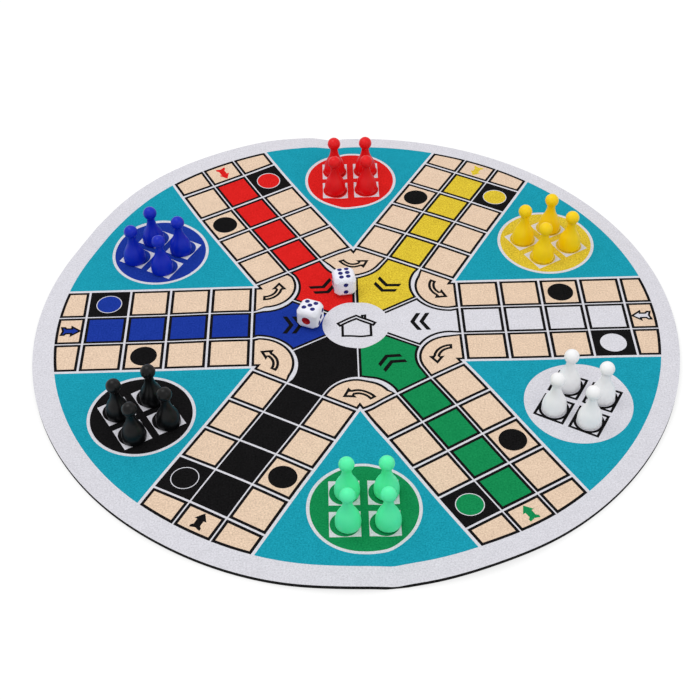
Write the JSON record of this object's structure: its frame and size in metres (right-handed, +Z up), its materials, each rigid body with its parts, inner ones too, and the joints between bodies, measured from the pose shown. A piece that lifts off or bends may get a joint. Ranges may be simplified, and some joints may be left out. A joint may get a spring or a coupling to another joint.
{
  "type": "folding ludo mat set",
  "caption": "Round ludo mat for six players, printed cloth on a rubber backing with a fold line across the middle, set out with its pawns and two dice.",
  "frame": {"origin": "centre of the mat's underside, on the surface that it lies on", "axes": "+Z up through the mat, +Y towards the home with the red pawns, +X to the right"},
  "size_m": [0.32, 0.32, 0.0247],
  "materials": {
    "rubber": "matte black foamed rubber backing with a fine pebbled grain",
    "cloth": "smooth light polyester cloth with a fine knit, printed with the ludo board in flat colours",
    "yellow_plastic": "moulded yellow plastic, satin",
    "red_plastic": "moulded red plastic, satin",
    "blue_plastic": "moulded blue plastic, satin",
    "black_plastic": "moulded black plastic, satin",
    "green_plastic": "moulded mint green plastic, satin",
    "white_plastic": "moulded white plastic, satin",
    "die_plastic": "polished white plastic with painted recessed pips, blue apart from a red one and four"
  },
  "bodies": {
    "mat_left": {"rubber_left": "rubber", "cloth_left": "cloth"},
    "mat_right": {"rubber_right": "rubber", "cloth_right": "cloth"},
    "pawn_yellow_1": {"pawn_yellow_1": "yellow_plastic"},
    "pawn_yellow_2": {"pawn_yellow_2": "yellow_plastic"},
    "pawn_yellow_3": {"pawn_yellow_3": "yellow_plastic"},
    "pawn_yellow_4": {"pawn_yellow_4": "yellow_plastic"},
    "pawn_red_1": {"pawn_red_1": "red_plastic"},
    "pawn_red_2": {"pawn_red_2": "red_plastic"},
    "pawn_red_3": {"pawn_red_3": "red_plastic"},
    "pawn_red_4": {"pawn_red_4": "red_plastic"},
    "pawn_blue_1": {"pawn_blue_1": "blue_plastic"},
    "pawn_blue_2": {"pawn_blue_2": "blue_plastic"},
    "pawn_blue_3": {"pawn_blue_3": "blue_plastic"},
    "pawn_blue_4": {"pawn_blue_4": "blue_plastic"},
    "pawn_black_1": {"pawn_black_1": "black_plastic"},
    "pawn_black_2": {"pawn_black_2": "black_plastic"},
    "pawn_black_3": {"pawn_black_3": "black_plastic"},
    "pawn_black_4": {"pawn_black_4": "black_plastic"},
    "pawn_green_1": {"pawn_green_1": "green_plastic"},
    "pawn_green_2": {"pawn_green_2": "green_plastic"},
    "pawn_green_3": {"pawn_green_3": "green_plastic"},
    "pawn_green_4": {"pawn_green_4": "green_plastic"},
    "pawn_white_1": {"pawn_white_1": "white_plastic"},
    "pawn_white_2": {"pawn_white_2": "white_plastic"},
    "pawn_white_3": {"pawn_white_3": "white_plastic"},
    "pawn_white_4": {"pawn_white_4": "white_plastic"},
    "die_1": {"die_1": "die_plastic"},
    "die_2": {"die_2": "die_plastic"}
  },
  "joints": [
    {"name": "fold", "type": "hinge", "parent": "mat_left", "child": "mat_right", "pos_m": [0.0016, 0, -0.00015], "axis": [-0.0654, 0.9979, 0], "range_deg": [0, 180]},
    {"name": "lift_pawn_yellow_1", "type": "slide", "parent": "mat_right", "child": "pawn_yellow_1", "axis": [0, 0, 1], "range_m": [0, 0.04]},
    {"name": "lift_pawn_yellow_2", "type": "slide", "parent": "mat_right", "child": "pawn_yellow_2", "axis": [0, 0, 1], "range_m": [0, 0.04]},
    {"name": "lift_pawn_yellow_3", "type": "slide", "parent": "mat_right", "child": "pawn_yellow_3", "axis": [0, 0, 1], "range_m": [0, 0.04]},
    {"name": "lift_pawn_yellow_4", "type": "slide", "parent": "mat_right", "child": "pawn_yellow_4", "axis": [0, 0, 1], "range_m": [0, 0.04]},
    {"name": "lift_pawn_red_1", "type": "slide", "parent": "mat_right", "child": "pawn_red_1", "axis": [0, 0, 1], "range_m": [0, 0.04]},
    {"name": "lift_pawn_red_2", "type": "slide", "parent": "mat_left", "child": "pawn_red_2", "axis": [0, 0, 1], "range_m": [0, 0.04]},
    {"name": "lift_pawn_red_3", "type": "slide", "parent": "mat_right", "child": "pawn_red_3", "axis": [0, 0, 1], "range_m": [0, 0.04]},
    {"name": "lift_pawn_red_4", "type": "slide", "parent": "mat_left", "child": "pawn_red_4", "axis": [0, 0, 1], "range_m": [0, 0.04]},
    {"name": "lift_pawn_blue_1", "type": "slide", "parent": "mat_left", "child": "pawn_blue_1", "axis": [0, 0, 1], "range_m": [0, 0.04]},
    {"name": "lift_pawn_blue_2", "type": "slide", "parent": "mat_left", "child": "pawn_blue_2", "axis": [0, 0, 1], "range_m": [0, 0.04]},
    {"name": "lift_pawn_blue_3", "type": "slide", "parent": "mat_left", "child": "pawn_blue_3", "axis": [0, 0, 1], "range_m": [0, 0.04]},
    {"name": "lift_pawn_blue_4", "type": "slide", "parent": "mat_left", "child": "pawn_blue_4", "axis": [0, 0, 1], "range_m": [0, 0.04]},
    {"name": "lift_pawn_black_1", "type": "slide", "parent": "mat_left", "child": "pawn_black_1", "axis": [0, 0, 1], "range_m": [0, 0.04]},
    {"name": "lift_pawn_black_2", "type": "slide", "parent": "mat_left", "child": "pawn_black_2", "axis": [0, 0, 1], "range_m": [0, 0.04]},
    {"name": "lift_pawn_black_3", "type": "slide", "parent": "mat_left", "child": "pawn_black_3", "axis": [0, 0, 1], "range_m": [0, 0.04]},
    {"name": "lift_pawn_black_4", "type": "slide", "parent": "mat_left", "child": "pawn_black_4", "axis": [0, 0, 1], "range_m": [0, 0.04]},
    {"name": "lift_pawn_green_1", "type": "slide", "parent": "mat_left", "child": "pawn_green_1", "axis": [0, 0, 1], "range_m": [0, 0.04]},
    {"name": "lift_pawn_green_2", "type": "slide", "parent": "mat_right", "child": "pawn_green_2", "axis": [0, 0, 1], "range_m": [0, 0.04]},
    {"name": "lift_pawn_green_3", "type": "slide", "parent": "mat_left", "child": "pawn_green_3", "axis": [0, 0, 1], "range_m": [0, 0.04]},
    {"name": "lift_pawn_green_4", "type": "slide", "parent": "mat_right", "child": "pawn_green_4", "axis": [0, 0, 1], "range_m": [0, 0.04]},
    {"name": "lift_pawn_white_1", "type": "slide", "parent": "mat_right", "child": "pawn_white_1", "axis": [0, 0, 1], "range_m": [0, 0.04]},
    {"name": "lift_pawn_white_2", "type": "slide", "parent": "mat_right", "child": "pawn_white_2", "axis": [0, 0, 1], "range_m": [0, 0.04]},
    {"name": "lift_pawn_white_3", "type": "slide", "parent": "mat_right", "child": "pawn_white_3", "axis": [0, 0, 1], "range_m": [0, 0.04]},
    {"name": "lift_pawn_white_4", "type": "slide", "parent": "mat_right", "child": "pawn_white_4", "axis": [0, 0, 1], "range_m": [0, 0.04]},
    {"name": "lift_die_1", "type": "slide", "parent": "mat_left", "child": "die_1", "axis": [0, 0, 1], "range_m": [0, 0.04]},
    {"name": "lift_die_2", "type": "slide", "parent": "mat_left", "child": "die_2", "axis": [0, 0, 1], "range_m": [0, 0.04]}
  ]
}
